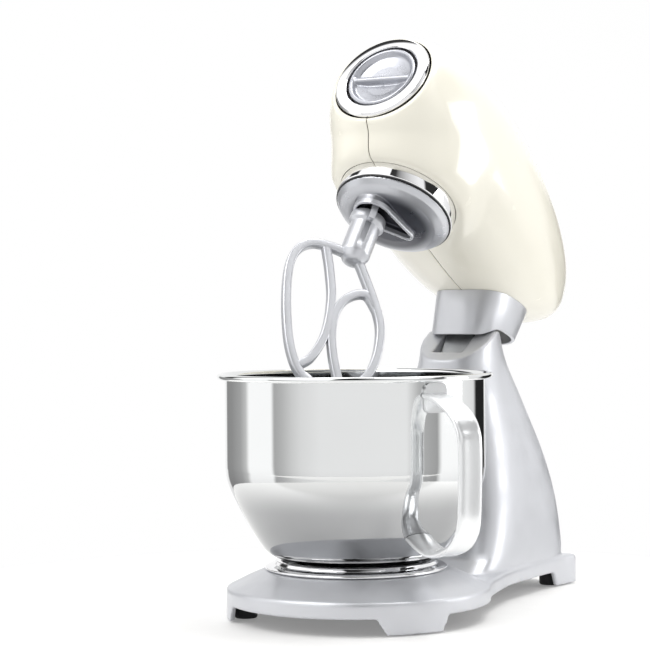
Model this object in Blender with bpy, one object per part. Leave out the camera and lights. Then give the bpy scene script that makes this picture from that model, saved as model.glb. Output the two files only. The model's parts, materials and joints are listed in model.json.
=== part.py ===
"""Tilt-head stand mixer with its head raised. Lengths are millimetres until a mesh is made.

X runs across the mixer, -Y towards the nose, +Z up. The head's pieces are drawn as they lie with the head down,
and the head's empty, on the hinge pin, then tilts them up.
"""

import math

import bmesh
import bpy
from mathutils import Matrix, Vector

MM = 0.001
GAP = 0.3  # left between pieces that touch

# Tilt hinge
HINGE = Vector((0, 164, 188))
TILT = math.radians(37)
PIN_R = 5
KNUCKLE_R = 11
KNUCKLE_HALF = 13.4
SLOT_HALF = 14.2

# Base and column
FLOOR_GAP = 1.2
DISC_R = 106
DISC_Y = 4
SKIRT_Z = 13.4
EDGE_Z = 26
SEAT_Z = 40
SEAT_R = 73
REAR_Y = 268
WALL = 5
# Half width of the base behind its disc, at each y
FLANK = ((45, 97.7), (66, 87.6), (102, 77), (140, 69), (200, 66), (243, 66.5), (260, 69))
# Column: z, half width, front y, rear y, squareness
COLUMN = (
    (22, 65, 72, 264, 6.0),
    (30, 65, 92, 264, 6.0),
    (40, 64.5, 107, 263.5, 6.0),
    (74, 62, 122, 261, 5.0),
    (98, 59, 126, 256, 4.5),
    (125, 54.5, 130, 247, 3.9),
    (148, 49.5, 132, 237, 3.5),
    (170, 44, 135.5, 228, 3.1),
    (200, 35.5, 141, 219, 2.4),
    (231, 33.5, 145, 206, 2.2),
)
# Side view of the column's top: a slanted front, a short crown and a rounded back
COLUMN_TOP = ((120, 188.6), (181, 226.4), (190, 226.4), (200, 221), (212, 210), (222, 200))
# What is fitted to the stand
FEET = {
    "front_right": (77, -44),
    "front_left": (-77, -44),
    "rear_right": (51, 246),
    "rear_left": (-51, 246),
}
SCREW_SPOTS = ((56, -50), (-56, -50), (56.5, 190), (-56.5, 190))
BUSH_R = 8
BUTTON_Y = 214
BUTTON_Z = 176
BUTTON_R = 9
BUTTON_STEM_R = 3.9
GLAND_R = 4.4
GLAND_SPOT = (24, 0, 20.9)

# Head: everything is measured from the planetary seam
SEAM_Z = 236
HEAD_WALL = 3
# Head sections: distance ahead of the planetary axis, top, bottom, half width, squareness of the upper half
HEAD = (
    (78, 125.5, 34, 46, 2.1),
    (70, 130, 29, 51, 2.3),
    (51, 135, 18, 58.5, 2.7),
    (20, 138.5, 13, 66, 3.1),
    (-20, 139, 12, 71, 3.4),
    (-63, 138, 13, 72.5, 3.4),
    (-129, 132, 20, 70, 3.1),
    (-180, 121, 33, 62, 2.9),
    (-215, 108, 48, 50, 2.7),
    (-235, 96, 61, 35, 2.5),
    (-246, 84, 73, 15, 2.3),
)
HEAD_END = (-248, 78.5)
NOSE_UP = 79.6
NOSE_R = 42
CAP_R = 30
BAND_R = 50
BAND_H = 15
BOSS_R = (54, 72)
UNDER_SQUARENESS = 2.3
# Neck collar: z, front, rear, half width, squareness
COLLAR = ((214, 143.5, 202, 31, 2.8), (255, 130, 206, 35, 2.7), (296, 119, 209, 39, 2.6))
# Height of the collar's lower edge at each y
COLLAR_EDGE = ((143, 217), (148, 221), (158, 233), (175, 240), (204, 249.5))
# Floor plate of the frame inside the head
PLATE = (SEAM_Z + 40, SEAM_Z + 46)
LEVER_Y = 40
LEVER_SWEEP = math.radians(44)

# Gear train, module 1
RING_TEETH = 52
PINION_TEETH = 16
TOOL_OFFSET = (RING_TEETH - PINION_TEETH) / 2
TOOL_ANGLE = math.radians(234)
WORM_WHEEL_R = 22
WORM_R = 6
ROTOR_UP = 76
SHAFT_R = 7
CAN_R = 27

# Tool: heights from the planetary seam
TOOL_TOP = -16
HUB_END = -63
HUB_R = 12.6
PIN_DROP = 22
TOOL_SHAFT_R = 5
SOCKET_R = 16.2
# The beater lies in one upright plane through its axis, and the pin crosses that plane
BEATER_ALONG = Vector((0.73, 0.69, 0)).normalized()
BEATER_ACROSS = Vector((0.69, -0.73, 0)).normalized()
# Centre lines of the beater's bars: distance from the axis, depth below the seam
LEFT_BAR = ((0, 56), (-21, 56.7), (-36, 61), (-44.5, 72), (-45.5, 90), (-37.5, 119), (-24, 151), (-10, 171),
            (4, 178.6), (16, 178))
RIGHT_BAR = ((4, 58), (11, 66), (29.5, 89.4), (41, 109), (46, 135), (43, 156), (31, 171), (13, 179.2),
             (-3, 175.5))
INNER_BAR = ((-24, 58.3), (-14, 78), (-4.3, 102), (1, 132), (-2, 156), (-9, 168))
SMALL_LOOP = ((35, 96), (20, 84.8), (7, 95), (2.7, 112), (6, 131), (14, 150), (26, 170))
BEATER_BARS = (LEFT_BAR, RIGHT_BAR, INNER_BAR, SMALL_LOOP)

# Bowl
RIM_R = 110.5
RIM_Z = 196
BOWL_WALL = 1.6
# Outside of the bowl below its rim: radius, height
BOWL = ((104.3, 193), (104.3, 122), (102, 109), (94.5, 92), (84, 72.5), (71.5, 54.5), (58, 47.2))
HANDLE_ANGLE = math.radians(67)
HANDLE_R = 147

CREAM = (0.91, 0.875, 0.755)
SILVER = (0.56, 0.57, 0.62)
DARK = (0.02, 0.02, 0.022)
FINISHES = {
    "cream_enamel": (CREAM, 0.25, 0),
    "silver_paint": (SILVER, 0.4, 0.5),
    "chrome": ((0.85, 0.85, 0.86), 0.06, 1),
    "polished_steel": ((0.75, 0.76, 0.77), 0.12, 1),
    "satin_plastic": ((0.42, 0.43, 0.46), 0.45, 0),
    "cast_aluminium": ((0.6, 0.61, 0.63), 0.4, 1),
    "tool_coating": ((0.55, 0.56, 0.59), 0.35, 0.6),
    "steel": ((0.45, 0.46, 0.48), 0.35, 1),
    "rubber": (DARK, 0.8, 0),
    "black_plastic": ((0.04, 0.04, 0.045), 0.5, 0),
    "copper": ((0.72, 0.35, 0.2), 0.35, 1),
    "board": ((0.03, 0.22, 0.1), 0.5, 0),
}


# ---------------------------------------------------------------- helpers


def clear_scene():
    for obj in list(bpy.data.objects):
        bpy.data.objects.remove(obj)


def material(name):
    """The named finish as a Principled material, made once."""
    found = bpy.data.materials.get(name)
    if found:
        return found
    made = bpy.data.materials.new(name)
    made.use_nodes = True
    colour, roughness, metallic = FINISHES[name]
    shader = made.node_tree.nodes["Principled BSDF"]
    shader.inputs["Base Color"].default_value = (*colour, 1)
    shader.inputs["Roughness"].default_value = roughness
    shader.inputs["Metallic"].default_value = metallic
    return made


class Body:
    """An empty that the pieces of one moving body hang from. `at` is a point on its joint's axis."""

    def __init__(self, name, at, parent=None):
        self.at = Vector(at)
        self.empty = bpy.data.objects.new(name, None)
        bpy.context.scene.collection.objects.link(self.empty)
        if parent:
            self.empty.parent = parent.empty
            self.empty.location = (self.at - parent.at) * MM
        else:
            self.empty.location = self.at * MM


def smooth(stations, at):
    """A smooth curve through stations (position, value, value, ...), read at one position."""
    rows = sorted(stations)
    at = min(max(at, rows[0][0]), rows[-1][0])
    i = max(k for k in range(len(rows) - 1) if rows[k][0] <= at)
    here, after = rows[i], rows[i + 1]
    before, beyond = rows[max(i - 1, 0)], rows[min(i + 2, len(rows) - 1)]
    span = after[0] - here[0]
    t = (at - here[0]) / span
    values = []
    for k in range(1, len(here)):
        leave = (after[k] - before[k]) / (after[0] - before[0]) * span
        reach = (beyond[k] - here[k]) / (beyond[0] - here[0]) * span
        a = 2 * t**3 - 3 * t**2 + 1
        b = t**3 - 2 * t**2 + t
        c = t**3 - t**2
        values.append(a * here[k] + b * leave + (1 - a) * after[k] + c * reach)
    return values


def spread(start, end, count):
    return [start + (end - start) * k / (count - 1) for k in range(count)]


def power_of(value, exponent):
    return math.copysign(abs(value) ** exponent, value)


def superellipse(half_x, half_y, squareness, count):
    """Points round a rounded rectangle."""
    angles = [2 * math.pi * k / count for k in range(count)]
    power = 2 / squareness
    return [(half_x * power_of(math.cos(a), power), half_y * power_of(math.sin(a), power)) for a in angles]


def solid(name, rings, body, finish, loop=False):
    """A piece from rings of points. Its ends are capped, or the last ring joins the first."""
    mesh = bpy.data.meshes.new(name)
    count = len(rings[0])
    grid = bmesh.new()
    rows = [[grid.verts.new((Vector(p) - body.at) * MM) for p in ring] for ring in rings]
    pairs = list(zip(rows, rows[1:]))
    if loop:
        pairs.append((rows[-1], rows[0]))
    else:
        grid.faces.new(rows[0])
        grid.faces.new(rows[-1])
    for low, high in pairs:
        for k in range(count):
            grid.faces.new((low[k - 1], low[k], high[k], high[k - 1]))
    finish_mesh(grid, mesh)
    return piece(name, mesh, body, finish)


def finish_mesh(grid, mesh):
    bmesh.ops.remove_doubles(grid, verts=grid.verts, dist=1e-7)
    bmesh.ops.dissolve_degenerate(grid, edges=grid.edges, dist=1e-8)
    bmesh.ops.recalc_face_normals(grid, faces=grid.faces)
    grid.to_mesh(mesh)
    grid.free()
    mesh.shade_smooth()
    mesh.set_sharp_from_angle(angle=math.radians(35))


def piece(name, mesh, body, finish):
    obj = bpy.data.objects.new(name, mesh)
    bpy.context.scene.collection.objects.link(obj)
    obj.parent = body.empty
    if finish:
        mesh.materials.append(material(finish))
    return obj


def axis_frame(origin, direction):
    """A matrix whose Z axis runs along direction from origin."""
    turn = Vector(direction).to_track_quat("Z", "Y").to_matrix().to_4x4()
    return Matrix.Translation(Vector(origin)) @ turn


def turned(name, profile, body, finish, origin=(0, 0, 0), direction=(0, 0, 1), segments=28):
    """A turned piece: a closed outline of (radius, height) points, spun about the axis."""
    frame = axis_frame(origin, direction)
    rings = []
    for k in range(segments):
        angle = 2 * math.pi * k / segments
        rings.append([frame @ Vector((r * math.cos(angle), r * math.sin(angle), h)) for r, h in profile])
    return solid(name, rings, body, finish, loop=True)


def rod(name, radius, low, high, body, finish, origin=(0, 0, 0), direction=(0, 0, 1), segments=20):
    frame = axis_frame(origin, direction)
    circle = superellipse(radius, radius, 2, segments)
    rings = [[frame @ Vector((x, y, h)) for x, y in circle] for h in (low, high)]
    return solid(name, rings, body, finish)


def tube(name, outer, inner, low, high, body, finish, origin=(0, 0, 0), direction=(0, 0, 1), segments=24):
    profile = [(inner, low), (outer, low), (outer, high), (inner, high)]
    return turned(name, profile, body, finish, origin, direction, segments)


def block(name, low, high, body, finish=None):
    x0, y0, z0 = low
    x1, y1, z1 = high
    outline = [(x0, y0), (x1, y0), (x1, y1), (x0, y1)]
    return solid(name, [[(x, y, z) for x, y in outline] for z in (z0, z1)], body, finish)


def side_prism(name, outline, half, body, finish=None):
    """A prism across the mixer, from an outline of (y, z) points."""
    return solid(name, [[(x, y, z) for y, z in outline] for x in (-half, half)], body, finish)


def swept(name, path, across, half_wide, half_thick, body, finish, squareness=3.0, count=10):
    """A bar along path. `across` is the fixed direction of its width."""
    points = [Vector(p) for p in path]
    across = Vector(across).normalized()
    rings = []
    for k, point in enumerate(points):
        ahead = points[min(k + 1, len(points) - 1)] - points[max(k - 1, 0)]
        out = ahead.normalized().cross(across)
        outline = superellipse(half_wide, half_thick, squareness, count)
        rings.append([point + across * u + out * v for u, v in outline])
    return solid(name, rings, body, finish)


def curve_through(points, count):
    """Evenly numbered points on a smooth curve through the given ones."""
    stations = [(k, *p) for k, p in enumerate(points)]
    return [smooth(stations, at) for at in spread(0, len(points) - 1, count)]


def combine(target, tool, operation):
    """Adds a Boolean to target. The tool itself is only a helper."""
    tool.hide_render = True
    tool.display_type = "WIRE"
    modifier = target.modifiers.new(tool.name, "BOOLEAN")
    modifier.operation = operation
    modifier.solver = "EXACT"
    modifier.object = tool


def cut(target, *tools):
    for tool in tools:
        combine(target, tool, "DIFFERENCE")


def join(target, *tools):
    for tool in tools:
        combine(target, tool, "UNION")


# ---------------------------------------------------------------- stand


def base_outline(inset):
    """The base seen from above: a disc in front, running back into two flanks."""
    radius = DISC_R - inset
    last = math.asin((FLANK[0][0] - DISC_Y) / DISC_R)
    half = []
    for angle in spread(-math.pi / 2, last, 13):
        half.append((radius * math.cos(angle), DISC_Y + radius * math.sin(angle)))
    for y in spread(FLANK[0][0] + 14, FLANK[-1][0] - inset, 8):
        half.append((smooth(FLANK, y)[0] - inset, y))
    half.append((FLANK[-1][1] - 4 - inset, REAR_Y - 2 - inset))
    half.append((FLANK[-1][1] - 11 - inset, REAR_Y - inset))
    half.append((0, REAR_Y - inset))
    return half + [(-x, y) for x, y in reversed(half[1:-1])]


def base_layers(name, layers, body, finish=None):
    """A solid on the base's outline, from (inset, z) layers."""
    return solid(name, [[(x, y, z) for x, y in base_outline(inset)] for inset, z in layers], body, finish)


def column_layers(name, heights, inset, body):
    rings = []
    for z in heights:
        half, front, rear, squareness = smooth(COLUMN, z)
        outline = superellipse(half - inset, (rear - front) / 2 - inset, squareness, 28)
        rings.append([(x, (front + rear) / 2 + y, z) for x, y in outline])
    return solid(name, rings, body, None)


def hinge_pocket(body):
    """The slot between the column's cheeks. Its slanted back is the stop for the raised neck."""
    lean = Vector((math.sin(TILT), math.cos(TILT)))
    foot = Vector((HINGE.y, HINGE.z)) + Vector((math.cos(TILT), -math.sin(TILT))) * (KNUCKLE_R + 0.5)
    top = foot + lean * 120
    front = HINGE.y - KNUCKLE_R - 0.6
    outline = [(front, 172), (front, 300), tuple(top), tuple(foot), (foot.x, 172)]
    return side_prism("hinge_pocket_cutter", outline, SLOT_HALF, body)


def stand_casting(body):
    edges = ((0, FLOOR_GAP), (0, EDGE_Z - 1.2), (1.4, EDGE_Z))
    casting = base_layers("stand_casting", edges, body, "silver_paint")
    seat = [(0, 20), (103.5, 20), (103.5, EDGE_Z), (75, SEAT_Z - 0.8), (SEAT_R, SEAT_Z), (0, SEAT_Z)]
    join(
        casting,
        turned("seat_cone", seat, body, None, (0, DISC_Y / 2, 0), segments=36),
        column_layers("column", (22, 30, 42, 62, 90, 118, 145, 172, 200, 231), 0, body),
    )
    room = [(0, 20), (97, 20), (66, SEAT_Z - WALL), (0, SEAT_Z - WALL)]
    cut(
        casting,
        base_layers("skirt_room", ((WALL, -1), (WALL, EDGE_Z - WALL)), body),
        turned("seat_room", room, body, None, (0, DISC_Y / 2, 0), segments=28),
        column_layers("column_room", (12, 40, 90, 158), WALL + 1, body),
        side_prism("column_top_cutter", COLUMN_TOP + ((260, 300), (120, 300)), 60, body),
        block("front_arch", (-72, -130, -1), (72, 0, SKIRT_Z), body),
        block("side_arch_right", (45, -34, -1), (130, 232, SKIRT_Z), body),
        block("side_arch_left", (-130, -34, -1), (-45, 232, SKIRT_Z), body),
        block("rear_arch", (-50, 180, -1), (50, 290, SKIRT_Z), body),
        hinge_pocket(body),
        rod("pin_bore", PIN_R + GAP, -30, 30, body, None, HINGE, (1, 0, 0)),
        rod("bush_seat_left", BUSH_R + GAP, -24, -12, body, None, HINGE, (1, 0, 0)),
        rod("bush_seat_right", BUSH_R + GAP, 12, 24, body, None, HINGE, (1, 0, 0)),
        rod("latch_hole", 4, -20, 20, body, None, (0, HINGE.y, 207), (1, 0, 0), 16),
        rod("button_bore", BUTTON_STEM_R + 0.4, 160, 250, body, None, (0, 0, BUTTON_Z), (0, 1, 0)),
        rod("button_seat", BUTTON_R + 0.4, BUTTON_Y - 13, 250, body, None, (0, 0, BUTTON_Z), (0, 1, 0)),
        rod("gland_bore", GLAND_R + GAP, 240, 290, body, None, GLAND_SPOT, (0, 1, 0), 20),
    )
    for k, (x, y) in enumerate(SCREW_SPOTS, 1):
        join(casting, rod(f"screw_post_{k}", 6.5, 16.4, 30, body, None, (x, y, 0), segments=16))
    for k, (x, y) in enumerate(SCREW_SPOTS, 1):
        cut(casting, rod(f"screw_thread_{k}", 2.3, 10, 26, body, None, (x, y, 0), segments=12))


def base_cover(body):
    cover = base_layers("base_cover", ((WALL + 0.6, 14), (WALL + 0.6, 16)), body, "black_plastic")
    for k, (x, y) in enumerate(SCREW_SPOTS, 1):
        cut(cover, rod(f"cover_hole_{k}", 2.4, 12, 18, body, None, (x, y, 0), segments=12))
        head = [(0, 11.6), (4.2, 11.6), (4.2, 13.7), (2, 13.7), (2, 25), (0, 25)]
        turned(f"cover_screw_{k}", head, body, "steel", (x, y, 0), segments=12)


def feet(body):
    for name, (x, y) in FEET.items():
        profile = [(0, 0), (8.4, 0), (9.2, 1), (9.2, 13.6), (0, 13.6)]
        turned(f"foot_{name}", profile, body, "rubber", (x, y, 0), segments=20)


def bowl_lock_plate(body):
    plate = [(0, SEAT_Z + GAP), (56, SEAT_Z + GAP), (56, SEAT_Z + 2.3), (53, SEAT_Z + 4), (0, SEAT_Z + 4)]
    turned("bowl_lock_plate", plate, body, "steel", segments=32)


def hinge(body):
    rod("hinge_pin", PIN_R, -29.5, 29.5, body, "steel", HINGE, (1, 0, 0))
    for name, side in (("right", 1), ("left", -1)):
        low, high = sorted((side * (SLOT_HALF + 0.2), side * 23.7))
        tube(f"hinge_bush_{name}", BUSH_R, PIN_R + GAP, low, high, body, "copper", HINGE, (1, 0, 0))


def cord_gland(body):
    face = REAR_Y + GAP
    profile = [(3, 258), (GLAND_R, 258), (GLAND_R, face), (6.5, face), (6, face + 3), (3, face + 4)]
    turned("cord_gland", profile, body, "rubber", GLAND_SPOT, (0, 1, 0), 20)


def release(body, stand):
    profile = [(0, 178), (BUTTON_STEM_R, 178), (BUTTON_STEM_R, BUTTON_Y), (BUTTON_R, BUTTON_Y),
               (BUTTON_R, BUTTON_Y + 13), (BUTTON_R - 1.5, BUTTON_Y + 15), (0, BUTTON_Y + 15.4)]
    turned("release_button", profile, body, "satin_plastic", (0, 0, BUTTON_Z), (0, 1, 0), 24)
    release_spring(stand)


def release_spring(stand):
    """Four turns of wire behind the button."""
    low, high = BUTTON_Y - 12, BUTTON_Y - 1.1
    wire, radius = 0.7, 6.6
    count = 4 * 12
    rings = []
    for k in range(count + 1):
        angle = 2 * math.pi * k / 12
        out = Vector((math.cos(angle), 0, math.sin(angle)))
        centre = Vector((0, low + (high - low) * k / count, BUTTON_Z)) + out * radius
        spots = [2 * math.pi * j / 5 for j in range(5)]
        rings.append([centre + out * wire * math.cos(a) + Vector((0, wire * math.sin(a), 0)) for a in spots])
    solid("release_spring", rings, stand, "steel")


# ---------------------------------------------------------------- head


def ease(value, low, high):
    """0 below low, 1 above high, and a smooth rise between them."""
    share = min(max((value - low) / (high - low), 0), 1)
    return share * share * (3 - 2 * share)


def lowered(x, ahead, up, inset):
    """Draws the underside down into a soft round boss over the planetary band."""
    level = BAND_H - 1 + inset
    if up < level:
        return up
    kept = max(ease(math.hypot(x, ahead), *BOSS_R), ease(up, level + 10, level + 50))
    return level + (up - level) * kept


def head_section(ahead, inset, side, count):
    """Half of the head's section, from the middle of its underside up to the middle of its top."""
    top, bottom, half, squareness = smooth(HEAD, ahead)
    centre = (top + bottom) / 2
    points = []
    for angle in spread(-math.pi / 2, math.pi / 2, count):
        power = 2 / (squareness if angle > 0 else min(squareness, UNDER_SQUARENESS))
        x = (half - inset) * power_of(abs(math.cos(angle)), power)
        up = centre + ((top - bottom) / 2 - inset) * power_of(math.sin(angle), power)
        points.append((side * x, -ahead, SEAM_Z + lowered(x, ahead, up, inset)))
    return points


def head_stations(inset=0.0):
    stations = [HEAD[0][0], HEAD[1][0]] + spread(60, -60, 8) + spread(-85, -215, 6) + [-229, -240, HEAD[-1][0]]
    return [max(ahead, HEAD_END[0] + inset) for ahead in stations]


def head_shell(name, side, body):
    """One half of the head's casing: an outer and an inner skin, joined along their edges."""
    count = 13
    gap = side * GAP / 2
    grid = bmesh.new()
    skins = []
    for inset in (0, HEAD_WALL):
        rows = [head_section(f, inset, side, count) for f in head_stations(inset)]
        verts = []
        for row in rows:
            ends = [(gap, *row[0][1:])] + row[1:-1] + [(gap, *row[-1][1:])]
            verts.append([grid.verts.new((Vector(p) - body.at) * MM) for p in ends])
        tip = Vector((gap, -HEAD_END[0] - inset, SEAM_Z + HEAD_END[1]))
        skins.append((verts, grid.verts.new((tip - body.at) * MM)))
    for verts, tip in skins:
        for low, high in zip(verts, verts[1:]):
            for k in range(count - 1):
                grid.faces.new((low[k], low[k + 1], high[k + 1], high[k]))
        for k in range(count - 1):
            grid.faces.new((verts[-1][k], verts[-1][k + 1], tip))
    borders = []
    for verts, tip in skins:
        under = [row[0] for row in verts]
        over = [row[-1] for row in verts]
        borders.append(under + [tip] + over[::-1] + verts[0][-2:0:-1])
    outer, inner = borders
    for k in range(len(outer)):
        grid.faces.new((outer[k - 1], outer[k], inner[k], inner[k - 1]))
    mesh = bpy.data.meshes.new(name)
    finish_mesh(grid, mesh)
    return piece(name, mesh, body, "cream_enamel")


def head_shells(body):
    for name, side in (("right", 1), ("left", -1)):
        shell = head_shell(f"head_shell_{name}", side, body)
        cut(
            shell,
            rod(f"band_opening_{name}", BAND_R + 0.5, 5, 34, body, None, (0, 0, SEAM_Z), segments=36),
            block(f"neck_opening_{name}", (-22, 140, 250), (22, 184, 285), body),
            block(f"lever_slot_{name}", (-3.4, LEVER_Y - 27, 365), (3.4, LEVER_Y + 27, 385), body),
        )
        for k in range(4):
            level = SEAM_Z + 50 + 11 * k
            cut(shell, block(f"vent_{name}_{k}", (-34, 222, level), (34, 262, level + 4), body))


def head_envelope(name, grow, body):
    rings = []
    for ahead in head_stations():
        right = head_section(ahead, -grow, 1, 12)
        rings.append(right + [(-x, y, z) for x, y, z in reversed(right[1:-1])])
    return solid(name, rings, body, None)


def collar_ring(inset, z):
    """The collar's outline at one height, or along its lower edge where z is None."""
    points = []
    for k in range(32):
        angle = 2 * math.pi * k / 32
        level = z or 235
        for _ in range(3):
            front, rear, half, squareness = smooth(COLLAR, level)
            y = (front + rear) / 2 + ((rear - front) / 2 - inset) * power_of(math.sin(angle), 2 / squareness)
            level = z or smooth(COLLAR_EDGE, y)[0]
        points.append(((half - inset) * power_of(math.cos(angle), 2 / squareness), y, level))
    return points


def neck_collar(body):
    levels = (290, 272, 255, None)
    outer = [collar_ring(0, z) for z in levels]
    inner = [collar_ring(HEAD_WALL, z) for z in reversed(levels)]
    collar = solid("neck_collar", outer + inner, body, "silver_paint", loop=True)
    cut(collar, head_envelope("collar_trim", 0.4, body))


def head_frame(body):
    """The casting inside the head: hinge knuckle, neck, floor plate and the planetary's ring wall."""
    low, high = PLATE
    front, rear = HINGE.y - KNUCKLE_R, HINGE.y + KNUCKLE_R
    frame = block("head_frame", (-34, -44, low), (34, 60, high), body, "cast_aluminium")
    join(
        frame,
        block("frame_tail", (-21, 40, low + 0.5), (21, rear + 0.5, high - 0.5), body),
        block("neck", (-KNUCKLE_HALF, front, HINGE.z), (KNUCKLE_HALF, rear, high - 1), body),
        rod("knuckle", KNUCKLE_R, -KNUCKLE_HALF, KNUCKLE_HALF, body, None, HINGE, (1, 0, 0), 32),
        tube("ring_wall", 46, 38, BAND_H + GAP, 42, body, None, (0, 0, SEAM_Z), segments=32),
    )
    cut(
        frame,
        rod("knuckle_bore", PIN_R + GAP, -20, 20, body, None, HINGE, (1, 0, 0)),
        rod("shaft_opening", 14.3, 20, 60, body, None, (0, 0, SEAM_Z)),
    )


def nose(body, cap):
    centre = (0, 0, SEAM_Z + NOSE_UP)
    ahead = (0, -1, 0)
    inner = CAP_R + 2
    outside = [(inner, 68), (NOSE_R - 3, 68), (NOSE_R, 71), (NOSE_R, 80), (NOSE_R - 1.5, 82)]
    face = [(inner + 1, 82.6), (inner, 81)]
    turned("nose_ring", outside + face, body, "chrome", centre, ahead, 36)
    flange = CAP_R + 8
    socket = [(9.5, 44), (16, 44), (16, 50), (12.5, 50), (12.5, 66), (flange, 66), (flange, 67.6), (9.5, 67.6)]
    turned("nose_socket", socket, body, "cast_aluminium", centre, ahead, 28)
    dish = [(CAP_R, 81), (CAP_R - 1, 82), (CAP_R - 3, 82), (CAP_R - 4.5, 77), (0, 76)]
    stem = [(0, 52), (9, 52), (9, 74), (CAP_R, 74)]
    plug = turned("nose_cap", stem + dish, cap, "satin_plastic", centre, ahead, 30)
    up = SEAM_Z + NOSE_UP
    join(plug, block("grip_bar", (-26.8, -81.5, up - 3), (26.8, -75, up + 3), cap))


def planetary(body):
    centre = (0, 0, SEAM_Z)
    band = [(47, 1), (BAND_R - 0.6, 0.6), (BAND_R, 1.2), (BAND_R, BAND_H), (47, BAND_H)]
    turned("planetary_band", band, body, "chrome", centre, segments=40)
    outline = gear_outline(RING_TEETH, RING_TEETH / 2, -1, turn=TOOL_ANGLE)
    gear = solid("ring_gear_teeth", [[(x, y, SEAM_Z + up) for x, y in outline] for up in (2, 13.5)], body, None)
    ring = rod("ring_gear", 46.6, 2.2, 13.3, body, "steel", centre, segments=40)
    cut(ring, gear)


def gear_outline(teeth, pitch, sign, centre=(0, 0), turn=0.0):
    """A gear's outline of plain trapezoid teeth. sign is 1 for outer teeth, -1 for the space inside a ring's."""
    addendum, dedendum = (0.8, 1.1) if sign > 0 else (1.1, 0.8)
    tip, root = pitch + addendum, pitch - dedendum
    step = 2 * math.pi / teeth
    # Where in the pitch a tooth's flank leaves the root and meets the tip
    leaves, meets = (0.27, 0.37) if sign > 0 else (0.14, 0.24)
    flanks = ((leaves, root), (meets, tip), (1 - meets, tip), (1 - leaves, root))
    points = []
    for k in range(teeth):
        for share, radius in flanks:
            angle = turn + (k + share - 0.5) * step
            points.append((centre[0] + radius * math.cos(angle), centre[1] + radius * math.sin(angle)))
    return points


def tool_centre():
    return (TOOL_OFFSET * math.cos(TOOL_ANGLE), TOOL_OFFSET * math.sin(TOOL_ANGLE))


def gearbox(body, carrier, rotor):
    centre = (0, 0, SEAM_Z)
    box = block("gearbox_housing", (-36, -36, PLATE[1] + GAP), (48, 44, SEAM_Z + 98), body, "cast_aluminium")
    cut(
        box,
        block("gearbox_room", (-30, -30, PLATE[1] - 5), (42, 38, SEAM_Z + 91.5), body),
        rod("worm_bore", 9.6, 20, 60, body, None, rotor.at, (0, 1, 0)),
        rod("top_bearing_bore", 13.3, 85, 120, body, None, centre),
    )
    bore = SHAFT_R + GAP
    tube("shaft_bearing_lower", 14, bore, 40.2, 46, body, "steel", centre)
    tube("shaft_bearing_upper", 13, bore, 92, 98, body, "steel", centre)
    shaft = [(0, 0.4), (8.8, 0.4), (8.8, 30), (SHAFT_R, 30), (SHAFT_R, 98), (0, 98)]
    turned("drive_shaft", shaft, carrier, "steel", centre, segments=24)
    outline = gear_outline(28, WORM_WHEEL_R - 0.8, 1)
    faces = (SEAM_Z + ROTOR_UP - 6, SEAM_Z + ROTOR_UP + 6)
    wheel = solid("worm_wheel", [[(x, y, z) for x, y in outline] for z in faces], carrier, "copper")
    cut(wheel, rod("wheel_bore", bore, 50, 95, carrier, None, centre))


def motor(body, rotor):
    at = rotor.at
    back = (0, 1, 0)
    origin = (at.x, 0, at.z)
    tube("motor_can", CAN_R, CAN_R - 3, 52, 138, body, "steel", origin, back, 32)
    tube("motor_end_cap", CAN_R, 6.5, 138.4, 142, body, "cast_aluminium", origin, back)
    tube("motor_front_cap", CAN_R, 6.5, 46, 51.6, body, "cast_aluminium", origin, back)
    worm = [(0, -28), (2.5, -28), (2.5, -22), (WORM_R, -22), (WORM_R, 26), (5, 28)]
    core = [(5, 60), (20, 60), (20, 130), (5, 130), (5, 162), (0, 162)]
    turned("motor_rotor", worm + core, rotor, "copper", origin, back, 28)
    fan = tube("cooling_fan", 10, 5.3, 146, 158, rotor, "black_plastic", origin, back)
    for k in range(7):
        angle = 2 * math.pi * k / 7
        turn = Matrix.Translation(Vector(origin)) @ Matrix.Rotation(angle, 4, "Y")
        corners = [(8, 147), (25, 147), (25, 157), (8, 157)]
        rings = [[turn @ Vector((r, y, side)) for r, y in corners] for side in (-1, 1)]
        join(fan, solid(f"fan_blade_{k}", rings, rotor, None))


def speed_board(body):
    block("speed_board", (-52, 60, SEAM_Z + 58), (-50, 130, SEAM_Z + 106), body, "board")
    front, rear = LEVER_Y - 8, LEVER_Y + 8
    block("speed_sensor", (-24, front, SEAM_Z + 108), (-18, rear, SEAM_Z + 120), body, "black_plastic")


def speed_lever(lever, head):
    """The lever turns on a cross shaft inside the head, and its knob rides over a slotted trim."""
    shaft_z = lever.at.z
    arm = block("speed_lever", (-2.5, -4, shaft_z), (2.5, 4, shaft_z + 47), lever, "chrome")
    knob = [(0, 42), (5, 42), (7.4, 45.5), (7.6, 49.5), (5.5, 52.5), (0, 53.5)]
    hub = rod("lever_hub", 6, -5, 5, lever, None, (0, 0, shaft_z), (1, 0, 0))
    ball = turned("lever_knob", knob, lever, None, (0, 0, shaft_z), segments=24)
    join(arm, hub, ball)
    for part in (arm, hub, ball):
        part.data.transform(Matrix.Translation(Vector((0, LEVER_Y * MM, 0))))
        part.data.transform(Matrix.Rotation(LEVER_SWEEP / 2, 4, "X"))
    cut(arm, rod("lever_bore", 2.8, -10, 10, lever, None, lever.at, (1, 0, 0)))
    rod("lever_shaft", 2.5, -14, 14, head, "steel", lever.at, (1, 0, 0), 16)
    rings = []
    for half_x, half_y, up in ((9, 33, 141.6), (9.6, 33.6, 139.6), (4, 27.5, 139.6), (4, 27.5, 141.6)):
        outline = superellipse(half_x, half_y, 6, 28)
        rings.append([(x, LEVER_Y + y, SEAM_Z + up) for x, y in outline])
    solid("lever_trim", rings, head, "chrome", loop=True)


# ---------------------------------------------------------------- planetary carrier and tool


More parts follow.
